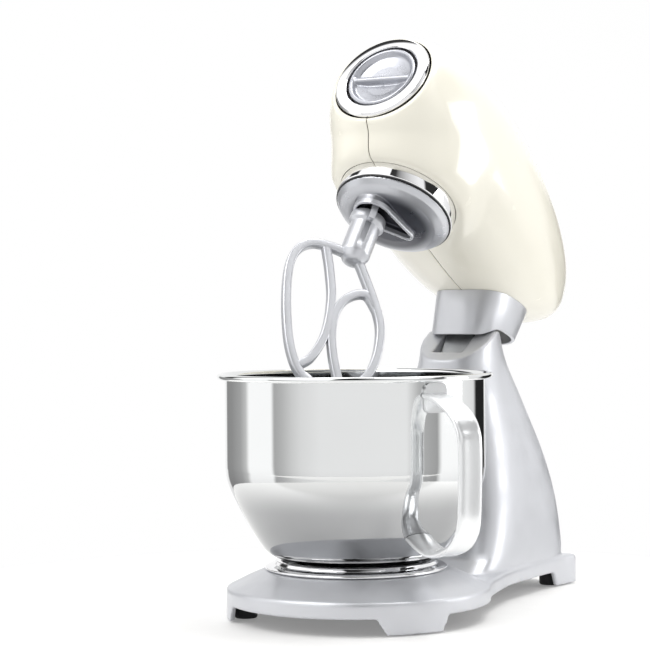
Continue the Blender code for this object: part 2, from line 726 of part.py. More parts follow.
def planet_disc(carrier):
    x, y = tool_centre()
    dome = [(0, -12.5), (20, -12), (34, -9.5), (44, -5), (49.2, 0.2), (46.5, 0.4), (46.5, 1.6), (0, 1.6)]
    disc = turned("planet_disc", dome, carrier, "satin_plastic", (0, 0, SEAM_Z), segments=36)
    lip = tube("socket_lip", 19, SOCKET_R, -18.5, -6, carrier, None, (x, y, SEAM_Z))
    join(disc, lip)
    cut(
        disc,
        rod("tool_bore", 7.8, -30, 10, carrier, None, (x, y, SEAM_Z)),
        rod("socket_recess", SOCKET_R, -30, -8, carrier, None, (x, y, SEAM_Z)),
        rod("drive_seat", 9.2, -2, 10, carrier, None, (0, 0, SEAM_Z)),
    )


def tool_shaft(tool):
    centre = (*tool_centre(), SEAM_Z)
    outline = gear_outline(PINION_TEETH, PINION_TEETH / 2, 1, centre, TOOL_ANGLE)
    rings = [[(x, y, SEAM_Z + up) for x, y in outline] for up in (2.6, 13)]
    pinion = solid("planet_pinion", rings, tool, "steel")
    cut(pinion, rod("pinion_bore", TOOL_SHAFT_R + GAP, -5, 20, tool, None, centre))
    pin_at = (*tool_centre(), SEAM_Z - PIN_DROP)
    shaft = rod("tool_shaft", TOOL_SHAFT_R, -40, 13.6, tool, "steel", centre)
    cut(shaft, rod("pin_hole", 2.3, -20, 20, tool, None, pin_at, BEATER_ACROSS, 16))
    rod("tool_drive_pin", 2, -9, 9, tool, "steel", pin_at, BEATER_ACROSS, 16)


def beater(tool):
    """Flat beater: a socket hub, and loops of flat bar in one plane through its axis."""
    centre = Vector((*tool_centre(), SEAM_Z))
    nose = [(0, HUB_END), (6, HUB_END + 1), (11, HUB_END + 6), (HUB_R, HUB_END + 13)]
    rim = [(HUB_R, -26), (15, -23.5), (15, TOOL_TOP), (0, TOOL_TOP)]
    hub = turned("beater", nose + rim, tool, "tool_coating", centre, segments=24)
    for k, points in enumerate(BEATER_BARS):
        spots = curve_through(points, 2 * len(points) - 1)
        path = [centre + BEATER_ALONG * s - Vector((0, 0, depth)) for s, depth in spots]
        join(hub, swept(f"beater_bar_{k}", path, BEATER_ACROSS, 3.6 - 0.17 * k, 4.4, tool, None, 2.6, 8))
    cut(
        hub,
        rod("beater_socket", TOOL_SHAFT_R + 0.4, -42, 0, tool, None, centre),
        block_at("bayonet_slot", centre, BEATER_ACROSS, 20, 2.5, -26, 0, tool),
    )


def block_at(name, centre, direction, half_long, half_wide, low, high, body):
    """A box on a vertical axis, turned so that its length runs along direction."""
    along = Vector(direction)
    side = Vector((-along.y, along.x, 0))
    outline = [along * (i * half_long) + side * (j * half_wide) for i, j in ((-1, -1), (1, -1), (1, 1), (-1, 1))]
    rings = [[Vector(centre) + p + Vector((0, 0, h)) for p in outline] for h in (low, high)]
    return solid(name, rings, body, None)


# ---------------------------------------------------------------- bowl


def bowl(body):
    bead = [(5.6, -1), (3, 0.6), (0.6, -0.4), (0, -2.4), (2, -4.4)]
    rim = [(RIM_R - inwards, RIM_Z + up) for inwards, up in bead]
    inner = [(r - BOWL_WALL, z + (0.4 if z > 100 else 1.3)) for r, z in reversed(BOWL)]
    floor_z = BOWL[-1][1]
    floor = [(0, floor_z - 0.6), (0, floor_z + 1.2)]
    turned("bowl", rim + list(BOWL) + floor + inner, body, "polished_steel", segments=40)


def bowl_foot(body):
    profile = [(60, 46.4), (64.5, 47.4), (66, 44.5), (SEAT_R - 1.5, SEAT_Z + 3), (SEAT_R, SEAT_Z + 1.5),
               (SEAT_R - 0.6, SEAT_Z + GAP), (60, SEAT_Z + GAP)]
    turned("bowl_foot", profile, body, "chrome", segments=36)


def bowl_handle(body):
    out = Vector((math.sin(HANDLE_ANGLE), -math.cos(HANDLE_ANGLE), 0))
    across = Vector((math.cos(HANDLE_ANGLE), math.sin(HANDLE_ANGLE), 0))
    route = [(105.2, 181), (118, 178), (136, 168), (HANDLE_R, 146), (HANDLE_R, 118), (145, 88), (131, 67),
             (110, 60), (93, 65), (79, 73)]
    path = [out * r + Vector((0, 0, z)) for r, z in curve_through(route, 22)]
    handle = swept("bowl_handle", path, across, 12.5, 3, body, "polished_steel", 3.5, 10)
    keep_out = [(0, 40)] + [(r + 0.4, z) for r, z in reversed(BOWL)] + [(BOWL[0][0] + 0.4, 200), (0, 200)]
    cut(handle, turned("bowl_space", keep_out, body, None, segments=40))


def centre_on_origin(root):
    """Moves the whole mixer so that its bounding box stands on the origin."""
    bpy.context.view_layer.update()
    graph = bpy.context.evaluated_depsgraph_get()
    spots = []
    for obj in bpy.data.objects:
        if obj.type == "MESH" and not obj.hide_render:
            ready = obj.evaluated_get(graph)
            spots += [ready.matrix_world @ v.co for v in ready.data.vertices]
    low = [min(p[k] for p in spots) for k in range(3)]
    high = [max(p[k] for p in spots) for k in range(3)]
    root.empty.location = (-(low[0] + high[0]) / 2, -(low[1] + high[1]) / 2, -low[2])


def main():
    clear_scene()
    root = Body("mixer", (0, 0, 0))
    stand = Body("stand", (0, 0, 0), root)
    head = Body("head", HINGE, root)
    head.empty.rotation_euler.x = -TILT
    carrier = Body("carrier", (0, 0, SEAM_Z), head)
    tool = Body("tool", (*tool_centre(), SEAM_Z), carrier)
    rotor = Body("rotor", (WORM_WHEEL_R + WORM_R + 0.6, 0, SEAM_Z + ROTOR_UP), head)
    lever = Body("lever", (0, LEVER_Y, SEAM_Z + 106), head)
    cap = Body("cap", (0, -78, SEAM_Z + NOSE_UP), head)
    button = Body("button", (0, 208, BUTTON_Z), root)
    bowl_body = Body("mixing_bowl", (0, 0, SEAT_Z), root)

    stand_casting(stand)
    base_cover(stand)
    feet(stand)
    bowl_lock_plate(stand)
    hinge(stand)
    cord_gland(stand)
    release(button, stand)
    head_shells(head)
    neck_collar(head)
    head_frame(head)
    nose(head, cap)
    planetary(head)
    gearbox(head, carrier, rotor)
    motor(head, rotor)
    speed_board(head)
    speed_lever(lever, head)
    planet_disc(carrier)
    tool_shaft(tool)
    beater(tool)
    bowl(bowl_body)
    bowl_foot(bowl_body)
    bowl_handle(bowl_body)
    centre_on_origin(root)


main()
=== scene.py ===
"""Looks of the tilt-head stand mixer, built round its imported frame.

Lengths are millimetres until a mesh is made. Head pieces are drawn in the head's own frame, from the centre
of the planetary seam: X across, Y towards the back, Z up through the head. Stand and bowl pieces are drawn
from the floor below the bowl's axis.
"""

import json
import math

import bmesh
import bpy
from mathutils import Matrix, Vector


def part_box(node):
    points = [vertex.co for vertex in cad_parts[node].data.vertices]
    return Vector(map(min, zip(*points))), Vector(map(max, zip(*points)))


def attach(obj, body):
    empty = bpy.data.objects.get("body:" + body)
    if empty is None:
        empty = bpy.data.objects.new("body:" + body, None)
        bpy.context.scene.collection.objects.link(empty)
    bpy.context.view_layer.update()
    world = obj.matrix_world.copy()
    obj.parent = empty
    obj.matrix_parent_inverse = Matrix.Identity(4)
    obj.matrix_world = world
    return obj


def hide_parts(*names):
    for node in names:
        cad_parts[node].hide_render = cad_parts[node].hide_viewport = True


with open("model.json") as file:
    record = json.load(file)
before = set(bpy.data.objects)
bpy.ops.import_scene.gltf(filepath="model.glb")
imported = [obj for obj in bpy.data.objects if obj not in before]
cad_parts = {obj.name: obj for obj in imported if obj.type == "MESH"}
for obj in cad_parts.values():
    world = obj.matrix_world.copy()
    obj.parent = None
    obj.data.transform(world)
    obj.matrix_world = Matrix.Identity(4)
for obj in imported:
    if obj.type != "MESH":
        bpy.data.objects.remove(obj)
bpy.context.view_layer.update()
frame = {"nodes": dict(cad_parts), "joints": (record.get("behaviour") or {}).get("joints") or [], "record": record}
JOINTS = {joint["name"]: joint for joint in frame["joints"]}
MM = 0.001


def head_matrix():
    up = Vector(JOINTS["carrier_turn"]["axis"]).normalized()
    back = Vector(JOINTS["rotor_turn"]["axis"]).normalized()
    turn = Matrix((back.cross(up), back, up)).transposed().to_4x4()
    return Matrix.Translation(JOINTS["carrier_turn"]["pos_m"]) @ turn @ Matrix.Scale(MM, 4)


BOWL_AT = Vector(JOINTS["bowl_turn"]["pos_m"])
STAND = Matrix.Translation((BOWL_AT.x, BOWL_AT.y, 0)) @ Matrix.Scale(MM, 4)
HEAD = head_matrix()
TOOL = HEAD.inverted() @ Vector(JOINTS["tool_spin"]["pos_m"])
HINGE = STAND.inverted() @ Vector(JOINTS["head_tilt"]["pos_m"])
LEVER = HEAD.inverted() @ Vector(JOINTS["speed_lever_swing"]["pos_m"])
BUTTON = STAND.inverted() @ Vector(JOINTS["button_press"]["pos_m"])

# ---------------------------------------------------------------- materials


def noise(tree, coordinate, scale, detail=3.0, stretch=(1, 1, 1)):
    mapping = tree.nodes.new("ShaderNodeMapping")
    mapping.inputs["Scale"].default_value = stretch
    made = tree.nodes.new("ShaderNodeTexNoise")
    made.inputs["Scale"].default_value = scale
    made.inputs["Detail"].default_value = detail
    tree.links.new(coordinate, mapping.inputs["Vector"])
    tree.links.new(mapping.outputs["Vector"], made.inputs["Vector"])
    return made.outputs["Fac"]


def between(tree, value, low, high):
    made = tree.nodes.new("ShaderNodeMapRange")
    made.inputs["From Min"].default_value = 0.3
    made.inputs["From Max"].default_value = 0.7
    made.inputs["To Min"].default_value = low
    made.inputs["To Max"].default_value = high
    tree.links.new(value, made.inputs["Value"])
    return made.outputs["Result"]


def colour_mix(tree, factor):
    """A Mix node for colours: its two colour sockets and its result."""
    made = tree.nodes.new("ShaderNodeMix")
    made.data_type = "RGBA"
    tree.links.new(factor, made.inputs["Factor"])
    first, second = [socket for socket in made.inputs if socket.type == "RGBA"]
    return first, second, [socket for socket in made.outputs if socket.type == "RGBA"][0]


def blend_colours(tree, factor, *colours):
    *sockets, result = colour_mix(tree, factor)
    for socket, colour in zip(sockets, colours):
        socket.default_value = (*colour, 1)
    return result


def math_node(tree, operation, *values):
    """A Math node. Each value is a number or the output of another node."""
    made = tree.nodes.new("ShaderNodeMath")
    made.operation = operation
    for socket, value in zip(made.inputs, values):
        if isinstance(value, (int, float)):
            socket.default_value = value
        else:
            tree.links.new(value, socket)
    return made.outputs[0]


def surface(
    name,
    colour,
    roughness,
    metallic=0.0,
    tint=0.04,
    grain=900,
    bump=0.05,
    coat=0.0,
    wear=0.25,
    brush=(1, 1, 1),
):
    """A finish whose colour, roughness and height vary. `tint` and `wear` are shares of the base values."""
    made = bpy.data.materials.new(name)
    made.use_nodes = True
    tree = made.node_tree
    shader = tree.nodes["Principled BSDF"]
    coordinate = tree.nodes.new("ShaderNodeTexCoord").outputs["Object"]
    broad = noise(tree, coordinate, 14)
    fine = noise(tree, coordinate, grain, 2.0, brush)
    dark = [c * (1 - tint) for c in colour]
    light = [min(c * (1 + tint), 1) for c in colour]
    tree.links.new(blend_colours(tree, between(tree, broad, 0, 1), dark, light), shader.inputs["Base Color"])
    patches = noise(tree, coordinate, 55, 4.0, brush)
    rough = between(tree, patches, roughness * (1 - wear), roughness * (1 + wear))
    tree.links.new(rough, shader.inputs["Roughness"])
    raised = tree.nodes.new("ShaderNodeBump")
    raised.inputs["Strength"].default_value = bump
    raised.inputs["Distance"].default_value = 0.0002
    tree.links.new(fine, raised.inputs["Height"])
    tree.links.new(raised.outputs["Normal"], shader.inputs["Normal"])
    shader.inputs["Metallic"].default_value = metallic
    shader.inputs["Coat Weight"].default_value = coat
    shader.inputs["Coat Roughness"].default_value = 0.04
    return made


ENAMEL = surface("cream_enamel", (0.93, 0.9, 0.785), 0.22, tint=0.006, grain=180, bump=0.004, coat=0.6)
# Painted shade: a dark brown for the shadow inside the parting line between the head's halves.
SEAM = surface("seam_shadow", (0.13, 0.1, 0.07), 0.6, tint=0.2, grain=500)
SILVER = surface("silver_paint", (0.63, 0.64, 0.67), 0.38, 0.5, tint=0.015, grain=2600, bump=0.05, coat=0.15)
CHROME = surface("chrome", (0.9, 0.9, 0.91), 0.035, 1, tint=0.01, grain=300, bump=0.006)
BOWL_STEEL = surface(
    "polished_steel", (0.82, 0.83, 0.83), 0.055, 1, tint=0.012, grain=420, bump=0.012, brush=(1, 1, 6)
)
HANDLE_STEEL = surface("handle_steel", (0.9, 0.91, 0.92), 0.2, 0.6, tint=0.01, grain=420, bump=0.008)
SATIN = surface("satin_grey", (0.5, 0.51, 0.55), 0.3, 0.7, tint=0.03, grain=1800, bump=0.04, coat=0.2)
DISC = surface(
    "disc_grey", (0.6, 0.61, 0.64), 0.3, 0.75, tint=0.012, grain=1800, bump=0.012, coat=0.1, wear=0.12
)
TOOL_FINISH = surface(
    "tool_coating", (0.66, 0.67, 0.7), 0.34, 0.6, tint=0.01, grain=1400, bump=0.008, wear=0.1
)
CAST = surface("cast_aluminium", (0.4, 0.41, 0.42), 0.5, 1, tint=0.08, grain=700, bump=0.4)
STEEL = surface("machined_steel", (0.45, 0.46, 0.48), 0.32, 1, tint=0.06, grain=900, bump=0.2)
BLACK = surface("black_plastic", (0.02, 0.02, 0.022), 0.45, tint=0.2, grain=1500, bump=0.15)
RUBBER = surface("rubber", (0.018, 0.018, 0.02), 0.75, tint=0.25, grain=1200, bump=0.3)
COPPER = surface("copper", (0.7, 0.34, 0.19), 0.35, 1, tint=0.1, grain=900, bump=0.2)
BOARD = surface("circuit_board", (0.03, 0.2, 0.09), 0.45, tint=0.15, grain=600, bump=0.1)

# The second colours of the bowl's steel and of the disc, and the metres over which each gives way. The steel's is
# painted shade: darker towards the foot, for the dark surroundings it mirrors there.
BOWL_FOOT_SHADE = (0.4, 0.405, 0.412)
BOWL_SHADE_FADE = (0.088, 0.128)
DOME_COLOUR = (0.07, 0.073, 0.088)
DOME_FADE = (0.029, 0.043)
LIP_LEVEL = (0.0128, 0.0136)


def step_between(tree, value, low, high):
    made = tree.nodes.new("ShaderNodeMapRange")
    made.interpolation_type = "SMOOTHSTEP"
    made.inputs["From Min"].default_value, made.inputs["From Max"].default_value = low, high
    tree.links.new(value, made.inputs["Value"])
    return made.outputs["Result"]


def vector_node(tree, operation, value, constant=None):
    made = tree.nodes.new("ShaderNodeVectorMath")
    made.operation = operation
    tree.links.new(value, made.inputs[0])
    if constant is not None:
        made.inputs[1].default_value = constant
    return made.outputs["Value" if operation in ("LENGTH", "DOT_PRODUCT") else "Vector"]


def darken_dome():
    """The disc is dark round its middle and fades to a pale rim. The raised lip on it stays pale."""
    tree = DISC.node_tree
    shader = tree.nodes["Principled BSDF"]
    pale = shader.inputs["Base Color"].links[0].from_socket
    coordinate = tree.nodes.new("ShaderNodeTexCoord").outputs["Object"]
    axis = Vector(JOINTS["carrier_turn"]["axis"]).normalized()
    offset = vector_node(tree, "SUBTRACT", coordinate, JOINTS["carrier_turn"]["pos_m"])
    radius = vector_node(tree, "LENGTH", vector_node(tree, "CROSS_PRODUCT", offset, axis))
    depth = vector_node(tree, "DOT_PRODUCT", offset, -axis)
    shares = (step_between(tree, radius, *DOME_FADE), step_between(tree, depth, *LIP_LEVEL))
    share = math_node(tree, "MAXIMUM", *shares)
    first, second, result = colour_mix(tree, share)
    first.default_value = (*DOME_COLOUR, 1)
    tree.links.new(pale, second)
    tree.links.new(result, shader.inputs["Base Color"])


SLOT_FINISH = {
    "cream_enamel": ENAMEL,
    "silver_paint": SILVER,
    "chrome": CHROME,
    "polished_steel": BOWL_STEEL,
    "satin_plastic": SATIN,
    "cast_aluminium": CAST,
    "tool_coating": TOOL_FINISH,
    "steel": STEEL,
    "rubber": RUBBER,
    "black_plastic": BLACK,
    "copper": COPPER,
    "board": BOARD,
}


def paint_bowl_foot_shade():
    """Painted shade: the bowl's steel is a little duller and darker towards its foot, standing in for the dark
    surroundings it mirrors there.
    """
    tree = BOWL_STEEL.node_tree
    shader = tree.nodes["Principled BSDF"]
    bright = shader.inputs["Base Color"].links[0].from_socket
    split = tree.nodes.new("ShaderNodeSeparateXYZ")
    tree.links.new(tree.nodes.new("ShaderNodeTexCoord").outputs["Object"], split.inputs["Vector"])
    # Painted shade: the steel's colour darkens below this height range.
    first, second, result = colour_mix(tree, step_between(tree, split.outputs["Z"], *BOWL_SHADE_FADE))
    first.default_value = (*BOWL_FOOT_SHADE, 1)
    tree.links.new(bright, second)
    tree.links.new(result, shader.inputs["Base Color"])


def dress_frame():
    """Gives every CAD node the finish of its slot. Most visible ones are replaced further down."""
    for part in frame["record"]["subparts"]:
        node = frame["nodes"][part["node"]]
        for place in node.material_slots:
            place.material = SLOT_FINISH[part["material_slot"]]
    # Painted shade: these two show only through the gaps round the band and the cap, and black stands for the
    # shadow inside those gaps.
    for name in ("nose_socket", "ring_gear"):
        frame["nodes"][name].material_slots[0].material = BLACK


# ---------------------------------------------------------------- mesh helpers


def smooth(stations, at):
    """A smooth curve through stations (position, value, value, ...), read at one position."""
    rows = sorted(stations)
    at = min(max(at, rows[0][0]), rows[-1][0])
    i = max(k for k in range(len(rows) - 1) if rows[k][0] <= at)
    here, after = rows[i], rows[i + 1]
    before, beyond = rows[max(i - 1, 0)], rows[min(i + 2, len(rows) - 1)]
    span = after[0] - here[0]
    t = (at - here[0]) / span
    values = []
    for k in range(1, len(here)):
        leave = (after[k] - before[k]) / (after[0] - before[0]) * span
        reach = (beyond[k] - here[k]) / (beyond[0] - here[0]) * span
        a = 2 * t**3 - 3 * t**2 + 1
        b = t**3 - 2 * t**2 + t
        c = t**3 - t**2
        values.append(a * here[k] + b * leave + (1 - a) * after[k] + c * reach)
    return values


def spread(start, end, count):
    return [start + (end - start) * k / (count - 1) for k in range(count)]


def ease(value, low, high):
    share = min(max((value - low) / (high - low), 0), 1)
    return share * share * (3 - 2 * share)


def power_of(value, exponent):
    return math.copysign(abs(value) ** exponent, value)


def superellipse(half_x, half_y, squareness, count):
    angles = [2 * math.pi * k / count for k in range(count)]
    power = 2 / squareness
    return [(half_x * power_of(math.cos(a), power), half_y * power_of(math.sin(a), power)) for a in angles]


def rounded(corners, closed=True, steps=6):
    """An outline whose corners (a, b, radius) are turned into arcs."""
    points = []
    count = len(corners)
    for k, (a, b, radius) in enumerate(corners):
        here = Vector((a, b))
        if radius <= 0 or (not closed and k in (0, count - 1)):
            points.append(tuple(here))
            continue
        before = Vector(corners[k - 1][:2]) - here
        after = Vector(corners[(k + 1) % count][:2]) - here
        half = before.angle(after) / 2
        reach = min(radius / math.tan(half), before.length * 0.49, after.length * 0.49)
        start, end = here + before.normalized() * reach, here + after.normalized() * reach
        for t in spread(0, 1, steps):
            points.append(tuple(start * (1 - t) ** 2 + here * 2 * t * (1 - t) + end * t * t))
    return points


def axis_frame(origin, direction):
    turn = Vector(direction).to_track_quat("Z", "Y").to_matrix().to_4x4()
    return Matrix.Translation(Vector(origin)) @ turn


def built(name, grid, space, sharp=40):
    """The object of a bmesh that was drawn in millimetres in the given space."""
    bmesh.ops.remove_doubles(grid, verts=grid.verts, dist=1e-4)
    bmesh.ops.dissolve_degenerate(grid, edges=grid.edges, dist=1e-5)
    bmesh.ops.recalc_face_normals(grid, faces=grid.faces)
    mesh = bpy.data.meshes.new(name)
    grid.to_mesh(mesh)
    grid.free()
    mesh.transform(space)
    mesh.shade_smooth()
    mesh.set_sharp_from_angle(angle=math.radians(sharp))
    obj = bpy.data.objects.new(name, mesh)
    bpy.context.scene.collection.objects.link(obj)
    return obj


def loft(name, rings, space, loop=False, sharp=40):
    """A solid from rings of points. Its ends are capped, or the last ring joins the first."""
    grid = bmesh.new()
    count = len(rings[0])
    rows = [[grid.verts.new(Vector(p)) for p in ring] for ring in rings]
    pairs = list(zip(rows, rows[1:]))
    if loop:
        pairs.append((rows[-1], rows[0]))
    else:
        grid.faces.new(rows[0])
        grid.faces.new(rows[-1])
    for low, high in pairs:
        for k in range(count):
            grid.faces.new((low[k - 1], low[k], high[k], high[k - 1]))
    return built(name, grid, space, sharp)


def turned(name, profile, space, origin=(0, 0, 0), direction=(0, 0, 1), segments=96, sharp=40):
    turn = axis_frame(origin, direction)
    rings = []
    for k in range(segments):
        angle = 2 * math.pi * k / segments
        rings.append([turn @ Vector((r * math.cos(angle), r * math.sin(angle), h)) for r, h in profile])
    return loft(name, rings, space, True, sharp)


def rod(name, radius, low, high, space, origin=(0, 0, 0), direction=(0, 0, 1), segments=48):
    outline = [(0, low), (radius, low), (radius, high), (0, high)]
    return turned(name, outline, space, origin, direction, segments)


def block(name, low, high, space):
    x0, y0, z0 = low
    x1, y1, z1 = high
    outline = [(x0, y0), (x1, y0), (x1, y1), (x0, y1)]
    return loft(name, [[(x, y, z) for x, y in outline] for z in (z0, z1)], space)


def prism(name, outline, low, high, space, along="X"):
    """A prism along one axis. Its outline's points hold the other two coordinates, in their order."""
    at = "XYZ".index(along)
    return loft(name, [[(*p[:at], level, *p[at:]) for p in outline] for level in (low, high)], space)


def curve_through(points, count):
    stations = [(k, *p) for k, p in enumerate(points)]
    return [smooth(stations, at) for at in spread(0, len(points) - 1, count)]


def swept(name, path, across, half_wide, half_thick, space, squareness=3.0, count=24):
    """A bar along path with a superellipse section. `across` is the fixed direction of its width."""
    points = [Vector(p) for p in path]
    across = Vector(across).normalized()
    section = superellipse(half_wide, half_thick, squareness, count)
    rings = []
    for k, point in enumerate(points):
        ahead = points[min(k + 1, len(points) - 1)] - points[max(k - 1, 0)]
        out = ahead.normalized().cross(across)
        rings.append([point + across * u + out * v for u, v in section])
    return loft(name, rings, space)


def evaluated(obj, sharp):
    """Bakes the object's modifiers into its mesh."""
    graph = bpy.context.evaluated_depsgraph_get()
    mesh = bpy.data.meshes.new_from_object(obj.evaluated_get(graph))
    obj.modifiers.clear()
    obj.data = mesh
    mesh.materials.clear()
    mesh.shade_smooth()
    mesh.set_sharp_from_angle(angle=math.radians(sharp))


def shaped(obj, added=(), removed=(), sharp=40):
    """Joins and cuts an object for good, and takes the tools away."""
    for operation, tools in (("UNION", added), ("DIFFERENCE", removed)):
        for tool in tools:
            modifier = obj.modifiers.new(tool.name, "BOOLEAN")
            modifier.operation = operation
            modifier.solver = "EXACT"
            modifier.object = tool
    evaluated(obj, sharp)
    for tool in (*added, *removed):
        bpy.data.objects.remove(tool)
    return obj


def softened(obj, voxel, passes, sharp=60):
    """Remeshes a joined shape and relaxes it, which rounds its edges and joints like a casting's."""
    remesh = obj.modifiers.new("remesh", "REMESH")
    remesh.mode = "VOXEL"
    remesh.voxel_size = voxel * MM
    relax = obj.modifiers.new("relax", "SMOOTH")
    relax.factor = 0.5
    relax.iterations = passes
    evaluated(obj, sharp)
    return obj


def place(obj, body, slot, finish, *nodes):
    """Finishes a piece: its material, the body it rides on and the CAD nodes that it stands for. Its slot argument
    is not used.
    """
    obj.data.materials.clear()
    obj.data.materials.append(finish)
    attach(obj, body)
    if nodes:
        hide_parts(*nodes)
    return obj


# ---------------------------------------------------------------- stand

DISC_R, DISC_Y = 106, 4
CORNER_R = 7
FLOOR_GAP, SKIRT_Z, EDGE_Z, SEAT_Z, SEAT_R = 1.2, 13.4, 26, 40, 73
REAR_Y = 268
FLANK = ((45, 97.7), (66, 87.6), (102, 77), (140, 69), (200, 66), (243, 66.5), (260, 69))
COLUMN = (
    (22, 65, 72, 264, 6.0),
    (30, 65, 92, 264, 6.0),
    (40, 64.5, 107, 263.5, 6.0),
    (74, 62, 122, 261, 5.0),
    (98, 59, 126, 256, 4.5),
    (125, 54.5, 130, 247, 3.9),
    (148, 49.5, 132, 237, 3.5),
    (170, 44, 135.5, 228, 3.1),
    (200, 35.5, 141, 219, 2.4),
    (231, 33.5, 145, 206, 2.2),
)
COLUMN_TOP = ((120, 188.6), (181, 226.4), (190, 226.4), (200, 221), (212, 210), (222, 200))
TILT = math.radians(37)  # how far the head is raised


def base_outline(inset):
    """The base seen from above: a disc in front, running back into two flanks."""
    radius = DISC_R - inset
    last = math.asin((FLANK[0][0] - DISC_Y) / DISC_R)
    half = []
    for angle in spread(-math.pi / 2, last, 60):
        half.append((radius * math.cos(angle), DISC_Y + radius * math.sin(angle)))
    for y in spread(FLANK[0][0] + 4, FLANK[-1][0] - inset, 50):
        half.append((smooth(FLANK, y)[0] - inset, y))
    corner_x, corner_y = FLANK[-1][1] - inset - CORNER_R, REAR_Y - inset - CORNER_R
    for angle in spread(0, math.pi / 2, 8):
        half.append((corner_x + CORNER_R * math.cos(angle), corner_y + CORNER_R * math.sin(angle)))
    half.append((0, REAR_Y - inset))
    return half + [(-x, y) for x, y in reversed(half[1:-1])]


def base_layers(name, layers):
    return loft(name, [[(x, y, z) for x, y in base_outline(inset)] for inset, z in layers], STAND)


def column(name, heights, inset):
    rings = []
    for z in heights:
        half, front, rear, squareness = smooth(COLUMN, z)
        outline = superellipse(half - inset, (rear - front) / 2 - inset, squareness, 96)
        rings.append([(x, (front + rear) / 2 + y, z) for x, y in outline])
    return loft(name, rings, STAND)


def arch(name, low, high, start, end, along):
    """A cutter for one arch under the skirt. Its ends lean outwards as they go down."""
    lean = 7
    outline = [(low - lean, -2), (high + lean, -2), (high, SKIRT_Z), (low, SKIRT_Z)]
    return prism(name, rounded([(a, b, 4 if b > 0 else 0) for a, b in outline]), start, end, STAND, along)


def stand_casting():
    edge = ((0, FLOOR_GAP), (0, EDGE_Z - 1.6), (0.8, EDGE_Z - 0.3), (2.2, EDGE_Z + 0.2))
    base = base_layers("stand_body", edge)
    seat = [(0, 20), (103, 20), (103.2, EDGE_Z), (90, 32.6)]
    seat += [(75, SEAT_Z - 0.8), (SEAT_R, SEAT_Z), (0, SEAT_Z)]
    room = [(0, 20), (97, 20), (66, 35), (0, 35)]
    lean = Vector((math.sin(TILT), math.cos(TILT)))
    foot = Vector((HINGE.y, HINGE.z)) + Vector((math.cos(TILT), -math.sin(TILT))) * 11.5
    top = foot + lean * 120
    front = HINGE.y - 11.6
    pocket = [(front, 172), (front, 300), tuple(top), tuple(foot), (foot.x, 172)]
    shaped(
        base,
        added=(
            turned("seat", seat, STAND, (0, DISC_Y / 2, 0)),
            column("column", spread(22, 231, 44), 0),
        ),
        removed=(
            base_layers("skirt_room", ((5, -1), (5, 21))),
            turned("seat_room", room, STAND, (0, DISC_Y / 2, 0)),
            column("column_room", (12, 40, 74, 125, 158), 6),
            prism("crown", COLUMN_TOP + ((260, 300), (120, 300)), -60, 60, STAND),
            arch("front_arch", -66, 66, -130, 0, "Y"),
            arch("side_arch_right", -28, 226, 45, 130, "X"),
            arch("side_arch_left", -28, 226, -130, -45, "X"),
            arch("rear_arch", -44, 44, 180, 290, "Y"),
            prism("pocket", pocket, -14.2, 14.2, STAND),
        ),
    )
    softened(base, 1.4, 5)
    shaped(
        base,
        removed=(
            rod("pin_bore", 5.3, -30, 30, STAND, HINGE, (1, 0, 0)),
            rod("button_seat", 9.4, BUTTON.y - 7, 260, STAND, (0, 0, BUTTON.z), (0, 1, 0)),
            rod("button_bore", 4.3, 160, 250, STAND, (0, 0, BUTTON.z), (0, 1, 0)),
            rod("gland_bore", 4.7, 240, 290, STAND, (24, 0, 20.9), (0, 1, 0)),
        ),
        sharp=50,
    )
    place(base, "stand", "silver_paint", SILVER, "stand_casting")


def feet():
    """Rubber blocks inside the casting's four corners, with a grooved tread."""
    profile = [(0, 0, 0), (3, 0, 0.3), (3, 0.7, 0.3), (4.4, 0.7, 0.3), (4.4, 0, 0.3), (8.4, 0, 0.8)]
    profile += [(9.2, 1.4, 0.6), (9.2, 13.6, 0.8), (0, 13.6, 0)]
    for corner in ("front_right", "front_left", "rear_right", "rear_left"):
        low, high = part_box(f"foot_{corner}")
        at = STAND.inverted() @ ((low + high) / 2)
        pad = turned(f"foot_pad_{corner}", rounded(profile), STAND, (at.x, at.y, 0))
        place(pad, "stand", "rubber", RUBBER, f"foot_{corner}")


def button_and_gland():
    profile = [(0, -30, 0), (3.9, -30, 0.3), (3.9, 6, 0), (9, 6, 0.5), (9, 21, 2.5), (0, 21.4, 0)]
    button = turned("release_push", rounded(profile), STAND, (BUTTON.x, BUTTON.y, BUTTON.z), (0, 1, 0))
    place(button, "button", "satin_plastic", SATIN, "release_button")
    rings = [(3, 258, 0), (4.4, 258, 0.2), (4.4, 268.3, 0), (6.5, 268.3, 0.6), (6.5, 269.8, 0.4)]
    rings += [(5, 270.2, 0.3), (5, 271, 0.3), (6.2, 271.3, 0.3), (5.6, 272.3, 0.4), (3, 272.3, 0.4)]
    gland = turned("cord_sleeve", rounded(rings), STAND, (24, 0, 20.9), (0, 1, 0))
    place(gland, "stand", "rubber", RUBBER, "cord_gland")


# ---------------------------------------------------------------- head

HEAD_SECTIONS = (
    (78, 125.5, 34, 46, 2.1),
    (70, 130, 29, 51, 2.3),
    (51, 135, 18, 58.5, 2.7),
    (20, 138.5, 13, 66, 3.1),
    (-20, 139, 12, 71, 3.4),
    (-63, 138, 13, 72.5, 3.4),
    (-129, 132, 20, 70, 3.1),
    (-180, 121, 33, 62, 2.9),
    (-215, 108, 48, 50, 2.7),
    (-235, 96, 61, 35, 2.5),
    (-246, 84, 73, 15, 2.3),
)
HEAD_END = (-248, 78.5)
HEAD_WALL = 3
SEAM_HALF_GAP = 0.3
UNDER_SQUARENESS = 2.3
NOSE_UP = 79.6
BAND_R, BAND_H = 50, 15
BOSS_R = (54, 72)


def lowered(x, ahead, up, inset):
    """Draws the underside down into a soft round boss over the planetary band."""
    level = BAND_H - 1 + inset
    if up < level:
        return up
    kept = max(ease(math.hypot(x, ahead), *BOSS_R), ease(up, level + 10, level + 50))
    return level + (up - level) * kept


